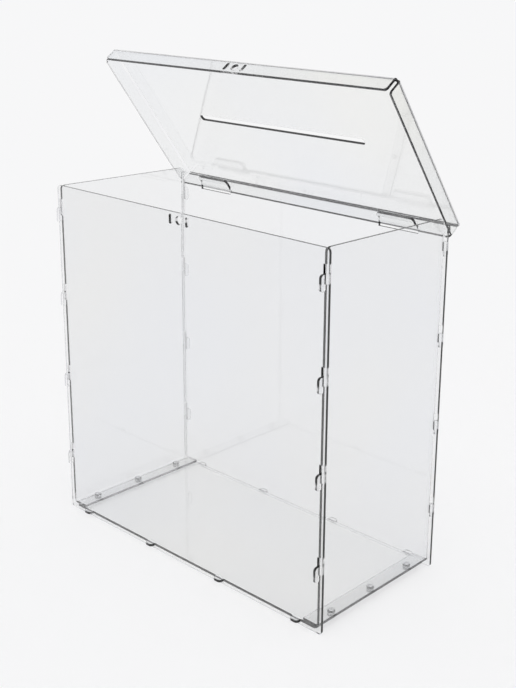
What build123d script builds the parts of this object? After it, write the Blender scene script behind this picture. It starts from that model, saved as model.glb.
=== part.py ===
from build123d import *
import math
import os

os.makedirs("parts", exist_ok=True)

# A clear ballot box cut from one thickness of plastic sheet and hooked together, with a hinged lid.
# Every length is in millimetres. X runs along the front, Y from front to back, Z up from the floor.

# Sheet and overall sizes
sheet = 3.0
panel_width = 400.0
panel_height = 389.0
rear_step = 5.0
box_depth = 181.0
top_corner_round = 4.0
foot_corner_round = 3.0
seat_gap = 0.2

# Side panels, each with a flange folded in over the base plate
side_inset = 3.5
flange_width = 21.5
fold_inner_round = 1.0

# Hooks on the front and rear edges of the side panels, and the closed slots that take them
hook_count = 4
lowest_slot_base = 64.2
slot_height = 18.5
top_slot_gap = 0.2
neck_height = 9.3
lip_drop = 6.6
lip_thickness = 5.6
lip_round = 3.6
slot_side_gap = 0.25

# Base plate and the tabs that reach through the front and rear panels
base_underside = 2.5
base_setback = 5.0
base_corner_round = 3.0
tab_count = 4
tab_margin = 25.0
tab_width = 11.0
tab_reach = 4.4
tab_round = 3.5
tab_slot_gap = 0.3

# Snap rivets that hold the flanges down on the base plate
rivet_count = 3
rivet_inset = 10.5
rivet_margin = 26.0
rivet_shank_round = 2.4
rivet_hole_gap = 0.3
rivet_head_round = 4.2
rivet_head_height = 2.2
rivet_head_soften = 1.0
rivet_foot_round = 3.8
rivet_foot_height = 1.7
rivet_foot_soften = 0.6

# Seal opening: a round hole between two upright slots, in the front panel and in the lid
seal_drop = 7.6
seal_hole_round = 4.5
seal_slot_spacing = 12.2
seal_slot_width = 4.0
seal_slot_height = 10.0

# Lid: a shallow tray turned over the rim, with two tongues folded in from its rear skirt
lid_side_gap = 1.0
lid_end_gap = 2.0
lid_rest_gap = 0.2
skirt_depth = 18.0
plate_corner_round = 0.5
skirt_corner_round = 3.0
tongue_margin = 67.0
tongue_width = 48.0
tongue_reach = 16.5
tongue_round = 4.0
tongue_drop = 2.1
hinge_slot_gap = 0.3
hinge_slot_side_gap = 1.0
lid_open_angle = 54.0
lid_stop_angle = 60.0

# Slot in the lid where the folded sheet goes in
entry_length = 239.0
entry_width = 7.5
entry_centre_x = 5.0
entry_setback = 7.4
entry_round = 3.0

# Places that follow from the sizes above, from the floor up and from the middle out
front_face = -box_depth / 2
front_inner = front_face + sheet
rear_face = box_depth / 2
rear_inner = rear_face - sheet
inner_depth = rear_inner - front_inner
rear_height = panel_height - rear_step
fold_outer_round = fold_inner_round + sheet
skirt_end_inset = fold_outer_round + plate_corner_round
base_top = base_underside + sheet
flange_top = base_top + sheet
side_outer = panel_width / 2 - side_inset
side_middle = side_outer - sheet / 2
base_width = (side_outer - base_setback) * 2
hook_reach = sheet + seat_gap + lip_thickness
seal_height = panel_height - seal_drop

# Rows of hooks, tabs and rivets
lid_width = panel_width + (lid_side_gap + sheet) * 2
lid_depth = box_depth + (lid_end_gap + sheet) * 2
lid_top = panel_height + lid_rest_gap + sheet
skirt_edge = lid_top - skirt_depth
highest_slot_base = skirt_edge - top_slot_gap - slot_height
hook_pitch = (highest_slot_base - lowest_slot_base) / (hook_count - 1)
tab_pitch = (base_width - tab_margin * 2) / (tab_count - 1)
rivet_pitch = (inner_depth - rivet_margin * 2) / (rivet_count - 1)
rivet_row_x = side_outer - rivet_inset
rivet_hole_round = rivet_shank_round + rivet_hole_gap

# Hinge: the tongues turn in slots just tall enough for the widest opening of the lid
tongue_x = lid_width / 2 - tongue_margin
tongue_underside = skirt_edge - tongue_drop
pivot_y = rear_face - sheet / 2
pivot_z = tongue_underside + sheet / 2
stop_turn = math.radians(lid_stop_angle)
tilted_half_height = (math.tan(stop_turn) + 1 / math.cos(stop_turn)) * sheet / 2
hinge_slot_half_height = tilted_half_height + hinge_slot_gap


def upright_sheet(outline, back_face):
    """Give a flat outline, drawn from the front, the thickness of the sheet."""
    return Pos(0, back_face, 0) * extrude(Plane.XZ * outline, amount=sheet)


def hook_levels():
    """Lower ends of the hook slots, from the floor up."""
    return [lowest_slot_base + step * hook_pitch for step in range(hook_count)]


def tab_places():
    """Middles of the base tabs along X."""
    first = -(tab_count - 1) * tab_pitch / 2
    return [first + step * tab_pitch for step in range(tab_count)]


def rivet_places():
    """Middles of the rivets along Y."""
    first = -(rivet_count - 1) * rivet_pitch / 2
    return [first + step * rivet_pitch for step in range(rivet_count)]


def seal_outline():
    """The round hole and the two upright slots beside it."""
    outline = Pos(0, seal_height) * Circle(seal_hole_round)
    for side in (-1, 1):
        slot = RectangleRounded(seal_slot_width, seal_slot_height, seal_slot_width * 0.4)
        outline += Pos(side * seal_slot_spacing, seal_height) * slot
    return outline


def panel_outline(height):
    """A panel with its rounded corners, its hook slots and its tab slots."""
    outline = Pos(0, height / 2) * Rectangle(panel_width, height)
    corners = outline.vertices().group_by(Axis.Y)
    outline = fillet(corners[0], foot_corner_round)
    outline = fillet(outline.vertices().group_by(Axis.Y)[-1], top_corner_round)
    hook_slot = Rectangle(sheet + slot_side_gap * 2, slot_height)
    for level in hook_levels():
        for side in (-1, 1):
            outline -= Pos(side * side_middle, level + slot_height / 2) * hook_slot
    tab_slot = Rectangle(tab_width + tab_slot_gap * 2, sheet + seat_gap * 2)
    for place in tab_places():
        outline -= Pos(place, base_underside + sheet / 2) * tab_slot
    return outline


# Front panel
front_outline = panel_outline(panel_height) - seal_outline()
front_panel = upright_sheet(front_outline, front_inner)

# Rear panel, a little lower than the rim so that the lid can turn over it
hinge_slot = Rectangle(tongue_width + hinge_slot_side_gap * 2, hinge_slot_half_height * 2)
rear_outline = panel_outline(rear_height)
for side in (-1, 1):
    rear_outline -= Pos(side * tongue_x, pivot_z) * hinge_slot
rear_panel = upright_sheet(rear_outline, rear_face)


def front_hook():
    """One hook pointing to the front: Y is 0 on the panel edge, Z is 0 at the slot's lower end."""
    neck = Pos(0, -hook_reach / 2, neck_height / 2) * Box(sheet, hook_reach, neck_height)
    lip_height = neck_height + lip_drop
    lip_y = -hook_reach + lip_thickness / 2
    lip = Pos(0, lip_y, neck_height - lip_height / 2) * Box(sheet, lip_thickness, lip_height)
    both = neck + lip
    outer_edges = both.edges().filter_by(Axis.X).group_by(Axis.Y)[0]
    outer_edges = outer_edges.sort_by(Axis.Z)
    both = fillet(outer_edges[-1:], lip_round)
    lower_edges = both.edges().filter_by(Axis.X).group_by(Axis.Z)[0]
    return fillet(lower_edges, lip_thickness * 0.4)


def side_panel():
    """The right side panel: a wall with its hooks, and the flange folded in at its foot."""
    wall_low = base_top + fold_outer_round
    wall_height = panel_height - wall_low
    wall = Pos(side_middle, 0, wall_low + wall_height / 2) * Box(sheet, inner_depth, wall_height)
    top_corners = wall.edges().filter_by(Axis.X).group_by(Axis.Z)[-1]
    wall = fillet(top_corners, top_corner_round)
    flange_flat = flange_width - fold_outer_round
    flange_x = side_outer - fold_outer_round - flange_flat / 2
    flange = Pos(flange_x, 0, base_top + sheet / 2) * Box(flange_flat, inner_depth, sheet)
    ring = Circle(fold_outer_round) - Circle(fold_inner_round)
    quarter = Pos(fold_outer_round / 2, -fold_outer_round / 2)
    quarter_ring = ring & (quarter * Rectangle(fold_outer_round, fold_outer_round))
    fold_place = Pos(side_outer - fold_outer_round, rear_inner, wall_low)
    fold = fold_place * extrude(Plane.XZ * quarter_ring, amount=inner_depth)
    panel = wall + flange + fold
    for level in hook_levels():
        hook = front_hook()
        panel += Pos(side_middle, front_inner, level) * hook
        panel += Pos(side_middle, rear_inner, level) * mirror(hook, Plane.XZ)
    for place in rivet_places():
        hole_place = Pos(rivet_row_x, place, base_top + sheet / 2)
        panel -= hole_place * Cylinder(rivet_hole_round, sheet * 2)
    return panel


# Side panels, mirror images of each other
right_panel = side_panel()
left_panel = mirror(right_panel, Plane.YZ)


def base_outline():
    """The base plate from above: a rounded rectangle with tabs and rivet holes."""
    outline = RectangleRounded(base_width, inner_depth, base_corner_round)
    tab_length = sheet + tab_reach
    for place in tab_places():
        for side in (-1, 1):
            tab = Rectangle(tab_width, tab_length * 2)
            tab = fillet(tab.vertices().group_by(Axis.Y)[0], tab_round)
            tab = tab if side == -1 else mirror(tab, Plane.XZ)
            outline += Pos(place, side * rear_inner) * tab
    for place in rivet_places():
        for side in (-1, 1):
            outline -= Pos(side * rivet_row_x, place) * Circle(rivet_hole_round)
    return outline


# Base plate
base_plate = Pos(0, 0, base_underside) * extrude(base_outline(), amount=sheet)


def rivet():
    """A snap rivet: head on the flange, shank through both sheets, spread foot under the base."""
    head = Pos(0, 0, flange_top + rivet_head_height / 2) * Cylinder(rivet_head_round, rivet_head_height)
    head = fillet(head.edges().group_by(Axis.Z)[-1], rivet_head_soften)
    shank_height = flange_top - base_underside
    shank = Pos(0, 0, base_underside + shank_height / 2) * Cylinder(rivet_shank_round, shank_height)
    foot_z = base_underside - rivet_foot_height / 2
    foot = Pos(0, 0, foot_z) * Cylinder(rivet_foot_round, rivet_foot_height)
    foot = fillet(foot.edges().group_by(Axis.Z)[0], rivet_foot_soften)
    return head + shank + foot


def folded_strip(length, drop):
    """A skirt with its fold, seen along X: the fold's outer corner is at Y 0 and Z 0."""
    skirt_height = drop - fold_outer_round
    skirt_z = -fold_outer_round - skirt_height / 2
    skirt = Pos(0, -sheet / 2, skirt_z) * Box(length, sheet, skirt_height)
    ring = Circle(fold_outer_round) - Circle(fold_inner_round)
    quarter = Pos(fold_outer_round / 2, fold_outer_round / 2)
    quarter_ring = ring & (quarter * Rectangle(fold_outer_round, fold_outer_round))
    fold = extrude(Plane.YZ * quarter_ring, amount=length / 2, both=True)
    return skirt + Pos(0, -fold_outer_round, -fold_outer_round) * fold


def skirt_with_corners(length):
    """A skirt whose two free corners are rounded."""
    strip = folded_strip(length, skirt_depth)
    free_corners = strip.edges().filter_by(Axis.Y).group_by(Axis.Z)[0]
    return fillet(free_corners, skirt_corner_round)


def hinge_tongue():
    """A tongue folded in from the rear skirt, in the closed pose, centred on X 0."""
    outer_y = lid_depth / 2
    upright_low = tongue_underside + fold_outer_round
    upright_height = skirt_edge + sheet - upright_low + fold_outer_round
    upright_z = upright_low + upright_height / 2
    upright = Pos(0, outer_y - sheet / 2, upright_z) * Box(tongue_width, sheet, upright_height)
    ring = Circle(fold_outer_round) - Circle(fold_inner_round)
    quarter = Pos(fold_outer_round / 2, -fold_outer_round / 2)
    quarter_ring = ring & (quarter * Rectangle(fold_outer_round, fold_outer_round))
    fold = extrude(Plane.YZ * quarter_ring, amount=tongue_width / 2, both=True)
    fold = Pos(0, outer_y - fold_outer_round, upright_low) * fold
    flat_length = tongue_reach + sheet - fold_outer_round
    flat_y = outer_y - fold_outer_round - flat_length / 2
    flat = Pos(0, flat_y, tongue_underside + sheet / 2) * Box(tongue_width, flat_length, sheet)
    tip_corners = flat.edges().filter_by(Axis.Z).group_by(Axis.Y)[0]
    flat = fillet(tip_corners, tongue_round)
    return upright + fold + flat


def closed_lid():
    """The lid as it lies on the rim."""
    plate_width = lid_width - fold_outer_round * 2
    plate_depth = lid_depth - fold_outer_round * 2
    plate_z = lid_top - sheet / 2
    plate = Pos(0, 0, plate_z) * Box(plate_width, plate_depth, sheet)
    plate = fillet(plate.edges().filter_by(Axis.Z), plate_corner_round)
    rear = Pos(0, lid_depth / 2, lid_top) * skirt_with_corners(lid_width - skirt_end_inset * 2)
    front = Rot(0, 0, 180) * rear
    side_skirt = skirt_with_corners(lid_depth - skirt_end_inset * 2)
    left = Pos(-lid_width / 2, 0, lid_top) * (Rot(0, 0, 90) * side_skirt)
    right = Pos(lid_width / 2, 0, lid_top) * (Rot(0, 0, -90) * side_skirt)
    tray = plate + rear + front + left + right
    for side in (-1, 1):
        tray += Pos(side * tongue_x, 0, 0) * hinge_tongue()
    entry = RectangleRounded(entry_length, entry_width, entry_round)
    entry_cut = Pos(entry_centre_x, -entry_setback, plate_z) * extrude(entry, amount=sheet, both=True)
    seal_cut = extrude(Plane.XZ * seal_outline(), amount=sheet, both=True)
    tray -= entry_cut
    tray -= Pos(0, -lid_depth / 2, 0) * seal_cut
    return tray


# Lid, turned about its hinge line to the angle it stands at when propped open
hinge_line = Axis((0, pivot_y, pivot_z), (1, 0, 0))
lid = closed_lid().rotate(hinge_line, -lid_open_angle)

# All pieces under their names
pieces = {
    "front_panel": front_panel,
    "rear_panel": rear_panel,
    "left_panel": left_panel,
    "right_panel": right_panel,
    "base_plate": base_plate,
    "lid": lid,
}
row_names = ("front", "middle", "rear")
for name, place in zip(row_names, rivet_places()):
    pieces["rivet_left_" + name] = Pos(-rivet_row_x, place, 0) * rivet()
    pieces["rivet_right_" + name] = Pos(rivet_row_x, place, 0) * rivet()

# The origin goes under the middle of the whole outline, lid included
low_y = min(piece.bounding_box().min.Y for piece in pieces.values())
high_y = max(piece.bounding_box().max.Y for piece in pieces.values())
frame_shift = -(low_y + high_y) / 2
for name, piece in pieces.items():
    export_step(Pos(0, frame_shift, 0) * piece, "parts/" + name + ".step")
print("pivot y", pivot_y + frame_shift, "pivot z", pivot_z, "shift", frame_shift)
print("open lid top", max(piece.bounding_box().max.Z for piece in pieces.values()))
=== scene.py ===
# %% [markdown]
# A ballot box hooked together from clear plastic sheet, with its folded lid propped open.
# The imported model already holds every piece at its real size. This lesson gives those
# pieces eased edges, clear and cut surfaces, and a pale studio to stand in.
# Everything is in metres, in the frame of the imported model.

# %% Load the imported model
import math

import bmesh
import bpy
from mathutils import Matrix, Vector
from mathutils.bvhtree import BVHTree


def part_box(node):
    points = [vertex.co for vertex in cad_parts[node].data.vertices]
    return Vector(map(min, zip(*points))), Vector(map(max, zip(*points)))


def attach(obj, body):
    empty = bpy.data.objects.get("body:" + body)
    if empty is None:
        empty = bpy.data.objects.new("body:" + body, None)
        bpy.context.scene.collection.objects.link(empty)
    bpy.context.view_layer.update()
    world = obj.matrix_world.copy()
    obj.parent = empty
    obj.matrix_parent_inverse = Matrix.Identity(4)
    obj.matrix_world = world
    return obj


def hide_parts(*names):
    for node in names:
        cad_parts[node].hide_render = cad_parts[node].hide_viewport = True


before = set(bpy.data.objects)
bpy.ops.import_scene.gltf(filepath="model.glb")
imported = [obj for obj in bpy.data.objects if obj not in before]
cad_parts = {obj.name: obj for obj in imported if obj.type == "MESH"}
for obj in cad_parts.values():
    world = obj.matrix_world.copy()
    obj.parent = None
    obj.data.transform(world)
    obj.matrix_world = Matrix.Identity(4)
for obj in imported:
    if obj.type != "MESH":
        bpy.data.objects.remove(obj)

print("nodes:", sorted(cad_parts))

# %% [markdown]
# Sizes are given in millimetres and turned into metres, and the scene is brought up to date
# before any work starts.

# %% Set the millimetre and bring the scene up to date
MM = 0.001
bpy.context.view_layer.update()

# %% [markdown]
# The camera stands where the photograph was taken from. Its place and its three angles
# come from matching the edges of the box. The photograph is cut out of a wider frame,
# so the lens is shifted a little instead of being turned towards the box.

# %% Place the camera
image_width = 516
image_height = 688
camera_place = Vector((0.8225, -0.8081, 0.6226))
camera_turn = math.radians(40.19)
camera_drop = math.radians(16.50)
camera_roll = math.radians(1.57)
camera_reach = 100
focal_pixels = 1109
look_point = (346, 300)


def camera_axes(turn, drop, roll):
    """The camera's right, up and back directions for a turn, a drop and a roll."""
    level_ahead = Vector((-math.sin(turn), math.cos(turn), 0)) * math.cos(drop)
    ahead = level_ahead - Vector((0, 0, math.sin(drop)))
    level_right = ahead.cross(Vector((0, 0, 1))).normalized()
    level_up = level_right.cross(ahead)
    right = level_right * math.cos(roll) + level_up * math.sin(roll)
    up = level_up * math.cos(roll) - level_right * math.sin(roll)
    return right, up, -ahead


camera = bpy.data.objects.new("camera", bpy.data.cameras.new("camera"))
bpy.context.scene.collection.objects.link(camera)
turned = Matrix(camera_axes(camera_turn, camera_drop, camera_roll)).transposed()
camera.matrix_world = Matrix.Translation(camera_place) @ turned.to_4x4()
camera.data.lens = focal_pixels / image_height * camera.data.sensor_width
camera.data.shift_x = (image_width / 2 - look_point[0]) / image_height
camera.data.shift_y = (look_point[1] - image_height / 2) / image_height
camera.data.clip_end = camera_reach
bpy.context.scene.camera = camera
print("lens in mm:", round(camera.data.lens, 1))

# %% [markdown]
# The studio is a pale room. A clear object shows the room through itself, so the room has
# one plain colour for the camera and for rays that a surface mirrors or lets through, and
# a lower level for the light that falls on things.

# %% Build the room
room_colour = (0.93, 0.93, 0.935)
room_light = 0.365


def colour4(colour):
    """A colour with full alpha."""
    return (*colour, 1.0)


def link_nodes(tree, *pairs):
    """Links each output socket to each input socket of the pairs."""
    for start, end in pairs:
        tree.links.new(start, end)


def seen_ray_mask(tree):
    """A socket that is 1 for rays from the camera, a mirror or a clear surface."""
    path = tree.nodes.new("ShaderNodeLightPath")
    total = path.outputs["Is Camera Ray"]
    for label in ("Is Glossy Ray", "Is Transmission Ray"):
        add = tree.nodes.new("ShaderNodeMath")
        add.operation = "ADD"
        add.use_clamp = True
        link_nodes(tree, (total, add.inputs[0]), (path.outputs[label], add.inputs[1]))
        total = add.outputs[0]
    return total


world = bpy.data.worlds.new("pale_room")
world.use_nodes = True
bpy.context.scene.world = world
room_blend = world.node_tree.nodes.new("ShaderNodeMix")
room_blend.data_type = "RGBA"
room_blend.inputs["A"].default_value = colour4([part * room_light for part in room_colour])
room_blend.inputs["B"].default_value = colour4(room_colour)
link_nodes(
    world.node_tree,
    (seen_ray_mask(world.node_tree), room_blend.inputs["Factor"]),
    (room_blend.outputs["Result"], world.node_tree.nodes["Background"].inputs["Color"]),
)
print("room:", world.name)

# %% [markdown]
# The floor has the colour of the room and no shine, so the two run into each other. It
# lies a hair under the feet of the box, so that no two faces share one plane.

# %% Lay the floor
floor_half = 30.0
floor_drop = 0.2 * MM
floor_roughness = 0.9

floor_mesh = bpy.data.meshes.new("floor")
corners = [(-floor_half, -floor_half, 0), (floor_half, -floor_half, 0)]
corners += [(floor_half, floor_half, 0), (-floor_half, floor_half, 0)]
floor_mesh.from_pydata(corners, [], [(0, 1, 2, 3)])
floor = bpy.data.objects.new("floor", floor_mesh)
bpy.context.scene.collection.objects.link(floor)
floor.location.z = -floor_drop

paint = bpy.data.materials.new("floor_paint")
paint.use_nodes = True
paint_shader = paint.node_tree.nodes["Principled BSDF"]
paint_shader.inputs["Base Color"].default_value = colour4(room_colour)
paint_shader.inputs["Roughness"].default_value = floor_roughness
paint_shader.inputs["Specular IOR Level"].default_value = 0.0
floor_mesh.materials.append(paint)
print("floor side in m:", floor_half * 2)

# %% [markdown]
# One broad, soft sun stands in for a big studio lamp overhead. It falls evenly over the
# whole floor, so the floor keeps one tone and the box keeps a faint shadow.

# %% Hang the lamp
lamp_level = 2.2
lamp_spread = math.radians(40)
lamp_tilt = (math.radians(15), math.radians(12), 0)
lamp_data = bpy.data.lights.new("soft_sun", "SUN")
lamp_data.energy = lamp_level
lamp_data.angle = lamp_spread
lamp = bpy.data.objects.new("soft_sun", lamp_data)
lamp.rotation_euler = lamp_tilt
lamp.visible_glossy = False
lamp.visible_transmission = False
bpy.context.scene.collection.objects.link(lamp)
print("lamp level:", lamp_level)

# %% [markdown]
# Clear sheet is never perfectly flat. A slow wave from the rolling mill bends what is
# mirrored in it. This group puts out a height, so each sheet can take its own depth.

# %% Group for the slow wave of the sheet
waves_per_metre = 6.0
wave_detail = 1.0


def new_group(name, inputs, output, output_kind):
    """A shader node group with named number inputs and one output, and its two ends."""
    group = bpy.data.node_groups.new(name, "ShaderNodeTree")
    for label, value in inputs:
        socket = group.interface.new_socket(
            name=label, in_out="INPUT", socket_type="NodeSocketFloat"
        )
        socket.default_value = value
    group.interface.new_socket(name=output, in_out="OUTPUT", socket_type=output_kind)
    return group, group.nodes.new("NodeGroupInput"), group.nodes.new("NodeGroupOutput")


def noise(group, scale, detail):
    """A noise laid over the piece in its own coordinates, as fine as a socket says."""
    place = group.nodes.new("ShaderNodeTexCoord")
    texture = group.nodes.new("ShaderNodeTexNoise")
    texture.inputs["Detail"].default_value = detail
    link_nodes(
        group,
        (place.outputs["Object"], texture.inputs["Vector"]),
        (scale, texture.inputs["Scale"]),
    )
    return texture.outputs["Fac"]


wave, wave_in, wave_out = new_group(
    "sheet_wave", [("Waves per metre", waves_per_metre)], "Height", "NodeSocketFloat"
)
ripple = noise(wave, wave_in.outputs["Waves per metre"], wave_detail)
link_nodes(wave, (ripple, wave_out.inputs["Height"]))
print("group:", wave.name)

# %% [markdown]
# Hands leave faint smears, which show as small changes in how sharp a reflection is.
# The group turns one noise into a roughness between a clean and a smeared value.

# %% Group for handling marks
noise_low = 0.35
noise_high = 0.7
face_smear = 0.03
face_marks = 25.0
smear_detail = 4.0


def spread_noise(group, source):
    """A map range node that spreads the middle of a noise over a whole range."""
    spread = group.nodes.new("ShaderNodeMapRange")
    spread.inputs["From Min"].default_value = noise_low
    spread.inputs["From Max"].default_value = noise_high
    link_nodes(group, (source, spread.inputs["Value"]))
    return spread


smears, smears_in, smears_out = new_group(
    "handling_marks",
    [("Clean", 0.0), ("Smeared", face_smear), ("Marks per metre", face_marks)],
    "Roughness",
    "NodeSocketFloat",
)
smear_noise = noise(smears, smears_in.outputs["Marks per metre"], smear_detail)
smear_spread = spread_noise(smears, smear_noise)
link_nodes(
    smears,
    (smears_in.outputs["Clean"], smear_spread.inputs["To Min"]),
    (smears_in.outputs["Smeared"], smear_spread.inputs["To Max"]),
    (smear_spread.outputs["Result"], smears_out.inputs["Roughness"]),
)
print("group:", smears.name)

# %% [markdown]
# Folding and moulding leave a little strain in the sheet, which tints it faintly in
# patches. The group mixes two near-white colours by a slow noise.

# %% Group for the faint tint
face_patches = 5.0
tint_detail = 1.0
cool_white = (0.92, 0.93, 0.95)
warm_white = (0.95, 0.95, 0.93)

tint, tint_in, tint_out = new_group(
    "faint_tint", [("Patches per metre", face_patches)], "Colour", "NodeSocketColor"
)
for label, colour in (("Cool", cool_white), ("Warm", warm_white)):
    socket = tint.interface.new_socket(
        name=label, in_out="INPUT", socket_type="NodeSocketColor"
    )
    socket.default_value = colour4(colour)
patch = noise(tint, tint_in.outputs["Patches per metre"], tint_detail)
patch_mix = tint.nodes.new("ShaderNodeMix")
patch_mix.data_type = "RGBA"
link_nodes(
    tint,
    (spread_noise(tint, patch).outputs["Result"], patch_mix.inputs["Factor"]),
    (tint_in.outputs["Cool"], patch_mix.inputs["A"]),
    (tint_in.outputs["Warm"], patch_mix.inputs["B"]),
    (patch_mix.outputs["Result"], tint_out.inputs["Colour"]),
)
print("group:", tint.name)

# %% [markdown]
# Clear plastic bends light, and a lamp still reaches through it. The main shader is a
# glass-like one. For the rays that look for a lamp it is swapped for a plain see-through
# one, so the sheets throw a faint shadow instead of a black one.

# %% Make the materials of the broad faces
plastic_index = 1.57
face_shadow = (0.997, 0.997, 0.997)


def add_group(material, group, values):
    """Places a node group in a material and sets its named inputs."""
    node = material.node_tree.nodes.new("ShaderNodeGroup")
    node.node_tree = group
    for label, value in values.items():
        node.inputs[label].default_value = value
    return node


def clear_material(name, shadow_colour, index, clarity):
    """A see-through material and its main shader, with lamps let through."""
    material = bpy.data.materials.new(name)
    material.use_nodes = True
    tree = material.node_tree
    shader = tree.nodes["Principled BSDF"]
    shader.inputs["Transmission Weight"].default_value = clarity
    shader.inputs["IOR"].default_value = index
    let_through = tree.nodes.new("ShaderNodeBsdfTransparent")
    let_through.inputs["Color"].default_value = colour4(shadow_colour)
    path = tree.nodes.new("ShaderNodeLightPath")
    swap = tree.nodes.new("ShaderNodeMixShader")
    link_nodes(
        tree,
        (path.outputs["Is Shadow Ray"], swap.inputs[0]),
        (shader.outputs["BSDF"], swap.inputs[1]),
        (let_through.outputs["BSDF"], swap.inputs[2]),
        (swap.outputs["Shader"], tree.nodes["Material Output"].inputs["Surface"]),
    )
    return material, shader


def face_material(name, cool, warm, wave_depth):
    """The broad face of a sheet: faintly tinted, with a slow wave and a few smears."""
    material, shader = clear_material(name, face_shadow, plastic_index, clarity=1.0)
    tree = material.node_tree
    colour = add_group(material, tint, {"Cool": colour4(cool), "Warm": colour4(warm)})
    marks = add_group(material, smears, {"Clean": 0.0, "Smeared": face_smear})
    height = add_group(material, wave, {"Waves per metre": waves_per_metre})
    bump = tree.nodes.new("ShaderNodeBump")
    bump.inputs["Distance"].default_value = wave_depth
    link_nodes(
        tree,
        (colour.outputs["Colour"], shader.inputs["Base Color"]),
        (marks.outputs["Roughness"], shader.inputs["Roughness"]),
        (height.outputs["Height"], bump.inputs["Height"]),
        (bump.outputs["Normal"], shader.inputs["Normal"]),
    )
    return material


box_face = face_material(
    "clear_sheet_face", cool=(0.925, 0.93, 0.94), warm=(0.935, 0.935, 0.93), wave_depth=0.4 * MM
)
base_face = face_material(
    "base_sheet_face", cool=(0.925, 0.93, 0.935), warm=(0.94, 0.94, 0.935), wave_depth=0.4 * MM
)
lid_face = face_material(
    "lid_sheet_face", cool=(0.91, 0.92, 0.935), warm=(0.94, 0.94, 0.92), wave_depth=0.6 * MM
)
rivet_face = face_material(
    "rivet_plastic", cool=(0.84, 0.85, 0.87), warm=(0.90, 0.90, 0.90), wave_depth=0.2 * MM
)
print("faces:", [face.name for face in (box_face, base_face, lid_face, rivet_face)])

# %% [markdown]
# The eye looks deep into the sheet through a cut edge, so most cut edges are painted dark,
# a painted shade for what the eye sees down the sheet. Those with an opening close behind
# them are painted pale. The edges on the far, left side are painted paler than the near
# ones, a painted light for how light reaches them there. The lid's cut edge is painted the
# darkest of all, and its folds are painted soft and partly milky grey, for how the bend
# spreads the light.

# %% Make the materials of the edges and folds
faint_index = 1.12
edge_shadow = (0.90, 0.90, 0.91)
edge_patches = 40.0
edge_marks = 300.0


def painted_edge_material(name, cool, warm, clean, smeared, clarity=1.0, index=plastic_index):
    """A cut or folded edge: the same plastic, with a colour painted darker or paler for the light
    seen in it.
    """
    material, shader = clear_material(name, edge_shadow, index, clarity)
    tints = {"Cool": colour4(cool), "Warm": colour4(warm), "Patches per metre": edge_patches}
    roughness = {"Clean": clean, "Smeared": smeared, "Marks per metre": edge_marks}
    link_nodes(
        material.node_tree,
        (add_group(material, tint, tints).outputs["Colour"], shader.inputs["Base Color"]),
        (add_group(material, smears, roughness).outputs["Roughness"], shader.inputs["Roughness"]),
    )
    return material


# Painted shade: cut edges that look deep into the sheet get a dark colour.
deep_edge_painted_dark = painted_edge_material(
    "deep_cut_edge_painted_dark", cool=(0.08, 0.08, 0.085), warm=(0.18, 0.18, 0.185), clean=0.08, smeared=0.25
)
# Painted light: cut edges with an opening close behind them get a pale colour.
short_edge_painted_pale = painted_edge_material(
    "short_cut_edge_painted_pale", cool=(0.66, 0.66, 0.67), warm=(0.80, 0.80, 0.80), clean=0.15, smeared=0.30
)
# Painted light: cut edges on the far, left side get a paler colour.
far_edge_painted_pale = painted_edge_material(
    "far_cut_edge_painted_pale", cool=(0.46, 0.46, 0.47), warm=(0.60, 0.60, 0.60), clean=0.10, smeared=0.25
)
# Painted shade: the lid's cut edge gets the darkest colour, and so do its long low folds.
lid_edge_painted_darkest = painted_edge_material(
    "lid_cut_edge_painted_darkest", cool=(0.01, 0.01, 0.012), warm=(0.05, 0.05, 0.05), clean=0.08, smeared=0.20
)
# Painted shade: the long folds near the foot get a dark colour.
deep_fold_painted_dark = painted_edge_material(
    "deep_fold_painted_dark", cool=(0.06, 0.06, 0.065), warm=(0.14, 0.14, 0.145), clean=0.08, smeared=0.20
)
# Painted grey: the folds are made partly milky to stand for how the bend spreads the light.
soft_fold_painted_grey = painted_edge_material(
    "soft_fold_painted_grey",
    cool=(0.80, 0.80, 0.82),
    warm=(0.90, 0.90, 0.90),
    clean=0.10,
    smeared=0.25,
    clarity=0.3,
)
# Painted light: folds on the far side and the hooks in front there get the palest colour.
far_fold_painted_palest = painted_edge_material(
    "far_fold_painted_palest",
    cool=(0.93, 0.93, 0.94),
    warm=(0.97, 0.97, 0.97),
    clean=0.05,
    smeared=0.12,
    index=faint_index,
)
print("all materials:", sorted(material.name for material in bpy.data.materials))

# %% [markdown]
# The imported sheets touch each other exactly. Real sheets keep a film of air between them,
# which catches light. So each piece is copied, its flat faces are made whole again, and
# every corner of the copy moves inward by the same small depth from all its faces.

# %% Helpers that copy a piece and draw it in
air_film = 0.03 * MM
weld_distance = 0.001 * MM
flat_angle = math.radians(0.5)
same_direction = 0.999
spike_limit = 4.0
spike_shift = 1.5


def packed_copy(node):
    """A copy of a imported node, welded and with its flat faces whole."""
    work = bmesh.new()
    work.from_mesh(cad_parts[node].data)
    bmesh.ops.remove_doubles(work, verts=work.verts, dist=weld_distance)
    bmesh.ops.dissolve_limit(
        work, angle_limit=flat_angle, verts=work.verts, edges=work.edges
    )
    return work


def inward_shift(vert, depth):
    """The way a corner moves to lie deeper by the same depth under all its faces."""
    normals = []
    for face in vert.link_faces:
        if all(face.normal.dot(other) < same_direction for other in normals):
            normals.append(face.normal.copy())
    if len(normals) < 3:
        return -sum(normals, Vector()) * depth
    try:
        shift = Matrix(normals[:3]).inverted() @ Vector((-depth, -depth, -depth))
    except ValueError:
        shift = -vert.normal * depth
    if shift.length > depth * spike_limit:
        shift = -vert.normal * depth * spike_shift
    return shift


def draw_in(work):
    """Moves every corner inward by the air film."""
    work.normal_update()
    places = {vert: vert.co + inward_shift(vert, air_film) for vert in work.verts}
    for vert, place in places.items():
        vert.co = place
    work.normal_update()


print("air film in mm:", round(air_film / MM, 3))

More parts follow.
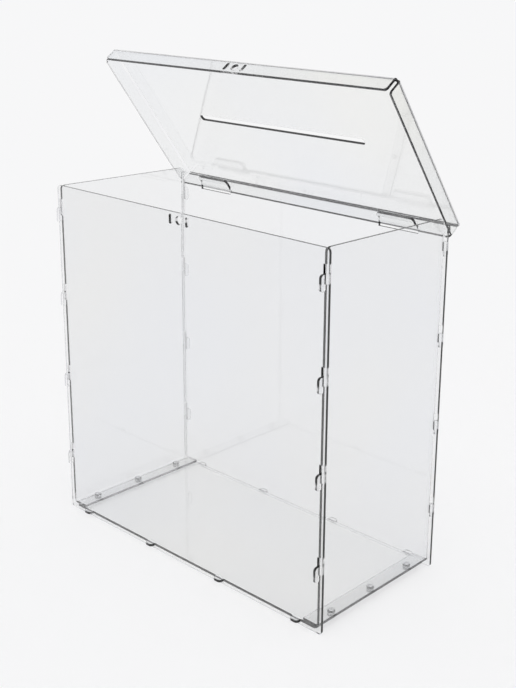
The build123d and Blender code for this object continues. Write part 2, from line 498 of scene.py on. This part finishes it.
# %% [markdown]
# Real sheets also have slightly eased edges. Some faces have to be divided first, because
# one long edge can be painted dark along one stretch and painted pale along the next.

# %% Helpers that divide faces and ease edges
ease_width = 0.25 * MM
ease_segments = 2
round_profile = 0.5
sharp_angle = math.radians(35)
level_step = 0.01 * MM


def divide(work, cuts):
    """Divides the faces at each cut, which is a direction and a level along it."""
    for direction, level in cuts:
        parts = work.verts[:] + work.edges[:] + work.faces[:]
        place = direction * level
        bmesh.ops.bisect_plane(
            work, geom=parts, dist=level_step, plane_co=place, plane_no=direction
        )


def is_sharp(edge):
    """Whether two faces meet at an edge at a sharp angle."""
    return edge.is_manifold and edge.calc_face_angle() > sharp_angle


def ease_edges(work):
    """Rounds the sharp edges of a piece a little."""
    bmesh.ops.bevel(
        work,
        geom=[edge for edge in work.edges if is_sharp(edge)],
        offset=ease_width,
        segments=ease_segments,
        affect="EDGES",
        profile=round_profile,
        clamp_overlap=True,
    )
    work.normal_update()


print("eased edge in mm:", round(ease_width / MM, 3))

# %% [markdown]
# Each face of a sheet is of one kind. A broad face has a wall one sheet thickness behind
# it. So has a fold, but a fold is curved. For a cut edge, the next wall lies at the far
# side of the sheet, or close by where there is an opening.

# %% Helpers that measure what lies behind a face
kinds = ("broad", "deep edge", "short edge", "soft fold", "deep fold", "far edge", "far fold")
sheet_thickness = 3.0 * MM
thickness_slack = 0.15 * MM
near_wall = 8 * MM
open_depth = 1.0
square_on = 0.9
flat_share = 0.01


def points_inside(work):
    """Points inside each face: the middles of the triangles it splits into, largest first."""
    found = {}
    for loops in work.calc_loop_triangles():
        first, second, third = (loop.vert.co for loop in loops)
        area = (second - first).cross(third - first).length
        middle = (first + second + third) / 3
        found.setdefault(loops[0].face, []).append((area, middle))
    points = {}
    for face, entries in found.items():
        entries.sort(key=lambda entry: -entry[0])
        points[face] = [middle for area, middle in entries]
    return points


def flat_directions(work):
    """The directions that the large flat faces of a piece look along."""
    found = []
    for face in work.faces:
        for entry in found:
            if abs(entry[0].dot(face.normal)) > same_direction:
                entry[1] += face.calc_area()
                break
        else:
            found.append([face.normal.copy(), face.calc_area()])
    total = sum(area for direction, area in found)
    return [direction for direction, area in found if area > total * flat_share]


def wall_behind(tree, point, inward):
    """How far the next wall lies behind a point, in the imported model's depth."""
    _, facing, _, depth = tree.ray_cast(point + inward * air_film, inward)
    if facing is None or facing.dot(inward) <= square_on:
        return open_depth
    return depth + air_film * 3


print("kinds of face:", ", ".join(kinds))

# %% [markdown]
# The long folds near the foot of a piece are painted dark and the other folds are painted
# soft. In a strip along the far side the dark kinds give way to kinds painted paler, for the
# light on that side, and the hooks that stand out in front of the box there are painted the
# palest. The strip ends just before the free edge of the left flange, which stays painted
# dark. The upright edges at the rear corner of that side are seen through two walls and
# take the milky grey paint of a soft fold.

# %% Helpers that sort the faces
far_kinds_painted_paler = {"deep edge": "far edge", "soft fold": "far fold", "deep fold": "far fold"}
front_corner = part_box("front_panel")[0]
rear_low, rear_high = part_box("rear_panel")
far_strip = 24 * MM
far_side = front_corner.x + far_strip
long_fold = 100 * MM
low_fold = 30 * MM


def mark_fold_kinds(work):
    """Notes on each face which fold it would be, by its length and how low it lies."""
    lowest = min(vert.co.z for vert in work.verts)
    for face in work.faces:
        long = max(edge.calc_length() for edge in face.edges) > long_fold
        low = face.calc_center_median().z < lowest + low_fold
        face.material_index = kinds.index("deep fold" if long and low else "soft fold")


def kind_of_face(face, points, tree, flats):
    """The kind of a face, from the wall behind it and the side of the box it is on."""
    inward = -face.normal
    if abs(wall_behind(tree, points[0], inward) - sheet_thickness) < thickness_slack:
        flat = any(abs(face.normal.dot(direction)) > same_direction for direction in flats)
        kind = "broad" if flat else kinds[face.material_index]
    else:
        nearest = min(wall_behind(tree, point, inward) for point in points)
        kind = "short edge" if nearest < near_wall else "deep edge"
    centre = face.calc_center_median()
    # On the far side the kinds switch to ones painted paler, for the light there.
    if centre.x >= far_side:
        return kind
    if centre.y < front_corner.y:
        return "far fold"
    at_rear_corner = rear_low.y - MM < centre.y < rear_high.y and centre.z < rear_high.z
    return "soft fold" if kind == "deep edge" and at_rear_corner else far_kinds_painted_paler.get(kind, kind)


def mark_faces(work):
    """Sorts all faces of a sheet, and counts each kind."""
    tree = BVHTree.FromBMesh(work)
    flats = flat_directions(work)
    counts = dict.fromkeys(kinds, 0)
    for face, points in points_inside(work).items():
        kind = kind_of_face(face, points, tree, flats)
        face.material_index = kinds.index(kind)
        counts[kind] += 1
    return counts


print("far side begins at x in mm:", round(far_side / MM, 1))

# %% [markdown]
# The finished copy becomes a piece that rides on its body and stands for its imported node.
# A sheet takes one material for each kind of face. A rivet is all of one material.

# %% Helpers that make a piece


def stand_in(work, node, name, materials, body):
    """Turns the worked copy of a node into a piece that stands for the node."""
    for face in work.faces:
        face.smooth = True
    mesh = bpy.data.meshes.new(name)
    work.to_mesh(mesh)
    work.free()
    mesh.set_sharp_from_angle(angle=sharp_angle)
    for material in materials:
        mesh.materials.append(material)
    piece = bpy.data.objects.new(name, mesh)
    bpy.context.scene.collection.objects.link(piece)
    weigh = piece.modifiers.new("flat_faces_first", "WEIGHTED_NORMAL")
    weigh.keep_sharp = True
    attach(piece, body)
    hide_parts(node)


def make_sheet(node, look, body, cuts=()):
    """Builds the eased and sorted copy of a sheet."""
    work = packed_copy(node)
    mark_fold_kinds(work)
    divide(work, cuts)
    draw_in(work)
    ease_edges(work)
    counts = mark_faces(work)
    stand_in(work, node, node + "_sheet", [look[kind] for kind in kinds], body)
    print(node, counts)


def make_rivet(node):
    """Builds the copy of a rivet."""
    work = packed_copy(node)
    draw_in(work)
    stand_in(work, node, node + "_moulding", [rivet_face], "box")
    print(node)


print("pieces to make:", len(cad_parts))

# %% [markdown]
# The edge faces are divided where an opening begins or ends behind them. The camera looks
# at the seal openings at a slant, so it sees them a little to one side. That is why the
# painted pale stretch of the front rim reaches from the hole to the right slot, and that of
# the lid from the left slot to where the right one begins.

# %% Find where the openings begin and end
ACROSS = Vector((1, 0, 0))
INWARD = Vector((0, 1, 0))
UPWARD = Vector((0, 0, 1))
panel_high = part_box("front_panel")[1]
opening_gap = 4 * MM
side_strip = 10 * MM
rim_strip = 16 * MM
foot_strip = 20 * MM
seal_reach = 20 * MM


def opening_ends(node, direction, keep):
    """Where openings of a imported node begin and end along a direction."""
    corners = [vert.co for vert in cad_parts[node].data.vertices]
    kept = [corner.dot(direction) / level_step for corner in corners if keep(corner)]
    levels = sorted({round(level) for level in kept})
    ends = levels[:1]
    for before, after in zip(levels, levels[1:]):
        if (after - before) * level_step > opening_gap:
            ends += [before, after]
    return [(direction, level * level_step) for level in dict.fromkeys(ends + levels[-1:])]


def in_hook_column(corner):
    """Whether a corner of the front panel belongs to a hook slot."""
    beside_edge = panel_high.x - side_strip < abs(corner.x) < panel_high.x - MM
    return beside_edge and foot_strip < corner.z < panel_high.z - side_strip


def in_hinge_slot(corner):
    """Whether a corner of the rear panel belongs to one of the two hinge slots."""
    below_rim = rear_high.z - rim_strip < corner.z < rear_high.z - MM
    return below_rim and abs(corner.x) < rear_high.x - side_strip


def in_seal_opening(corner):
    """Whether a corner belongs to the seal opening in the middle of a rim."""
    return abs(corner.x) < seal_reach


hook_cuts = opening_ends("front_panel", UPWARD, in_hook_column)
hinge_cuts = opening_ends("rear_panel", ACROSS, in_hinge_slot)
seal_cuts = opening_ends("front_panel", ACROSS, in_seal_opening)
left_slot_start, _, hole_start, _, right_slot_start, right_slot_end = seal_cuts
rim_cuts = [hole_start, right_slot_end]
lid_cuts = [left_slot_start, right_slot_start]
far_hook_cuts = [(INWARD, front_corner.y)]
print("hook slots in mm:", [round(level / MM, 1) for direction, level in hook_cuts])
print("hinge slots in mm:", [round(level / MM, 1) for direction, level in hinge_cuts])
print("seal openings in mm:", [round(level / MM, 1) for direction, level in seal_cuts])

# %% [markdown]
# Now every imported piece gets its copy. A look names the material for each kind of face.
# The rear panel and the base plate are seen through the box, so all their cut edges are
# painted with the paler, far colour, a painted light.

# %% Build the pieces
near_look = {
    "broad": box_face,
    "deep edge": deep_edge_painted_dark,
    "short edge": short_edge_painted_pale,
    "soft fold": soft_fold_painted_grey,
    "deep fold": deep_fold_painted_dark,
    "far edge": far_edge_painted_pale,
    "far fold": far_fold_painted_palest,
}
rear_look = {**near_look, "deep edge": far_edge_painted_pale}
base_look = {**rear_look, "broad": base_face}
lid_look = {**near_look, "broad": lid_face, "deep edge": lid_edge_painted_darkest, "deep fold": lid_edge_painted_darkest}
make_sheet("front_panel", near_look, "box", hook_cuts + rim_cuts)
make_sheet("rear_panel", rear_look, "box", hook_cuts + hinge_cuts)
make_sheet("left_panel", near_look, "box", hook_cuts + far_hook_cuts)
make_sheet("right_panel", near_look, "box", hook_cuts)
make_sheet("base_plate", base_look, "box")
make_sheet("lid", lid_look, "lid", lid_cuts)
for side in ("left", "right"):
    for row in ("front", "middle", "rear"):
        make_rivet("rivet_" + side + "_" + row)

# %% Finish
bpy.context.scene.view_settings.view_transform = "Standard"
